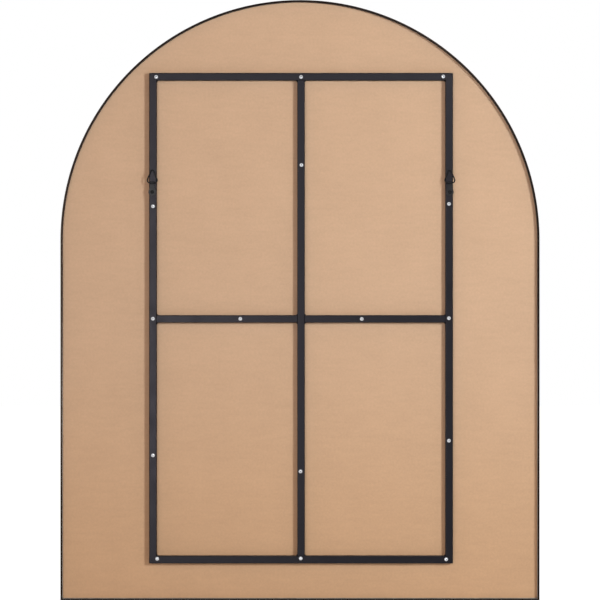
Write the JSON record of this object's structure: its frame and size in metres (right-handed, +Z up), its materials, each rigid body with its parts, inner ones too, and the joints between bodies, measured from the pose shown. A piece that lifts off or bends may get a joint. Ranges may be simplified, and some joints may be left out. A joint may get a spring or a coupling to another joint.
{
  "type": "arched wall mirror",
  "caption": "Tall wall mirror with a half-round top in a thin black metal frame, backed by a board and a welded tube grid that hangs on folding wire rings.",
  "frame": {"origin": "middle of the width and of the whole depth, at the bottom edge of the frame", "axes": "+Z up the mirror, -Y out of the mirror face towards the viewer, +Y towards the wall, +X to the viewer's right in front of the mirror. Left and right in names are as seen from behind, so left is +X"},
  "size_m": [0.9574, 0.0326, 1.1999],
  "materials": {
    "frame_coat": "satin",
    "tube_coat": "satin",
    "mirror_glass": "polished",
    "fibreboard": "matte",
    "foam_tape": "matte",
    "key_steel": "satin",
    "screw_zinc": "satin",
    "hanger_black": "satin"
  },
  "bodies": {
    "mirror": {"frame_arch_rail": "frame_coat", "frame_bottom_rail": "frame_coat", "grid_stile_left": "tube_coat", "grid_stile_right": "tube_coat", "grid_mullion": "tube_coat", "grid_top_rail": "tube_coat", "grid_bottom_rail": "tube_coat", "grid_cross_rail_left": "tube_coat", "grid_cross_rail_right": "tube_coat", "grid_weld_beads": "tube_coat", "mirror_glass": "mirror_glass", "back_board": "fibreboard", "bonding_tape_1": "foam_tape", "bonding_tape_2": "foam_tape", "bonding_tape_3": "foam_tape", "bonding_tape_4": "foam_tape", "bonding_tape_5": "foam_tape", "corner_key_left": "key_steel", "corner_key_right": "key_steel", "corner_key_screws": "key_steel", "grid_screws": "screw_zinc", "hanger_strap_left": "hanger_black", "hanger_strap_right": "hanger_black", "hanger_screw_left": "hanger_black", "hanger_screw_right": "hanger_black"},
    "ring_left": {"hanger_ring_left": "hanger_black"},
    "ring_right": {"hanger_ring_right": "hanger_black"}
  },
  "joints": [
    {"name": "ring_left_fold", "type": "hinge", "parent": "mirror", "child": "ring_left", "pos_m": [0.295, 0.0138, 0.834], "axis": [-1, 0, 0], "range_deg": [0, 175]},
    {"name": "ring_right_fold", "type": "hinge", "parent": "mirror", "child": "ring_right", "pos_m": [-0.2992, 0.0138, 0.834], "axis": [-1, 0, 0], "range_deg": [0, 175]}
  ]
}
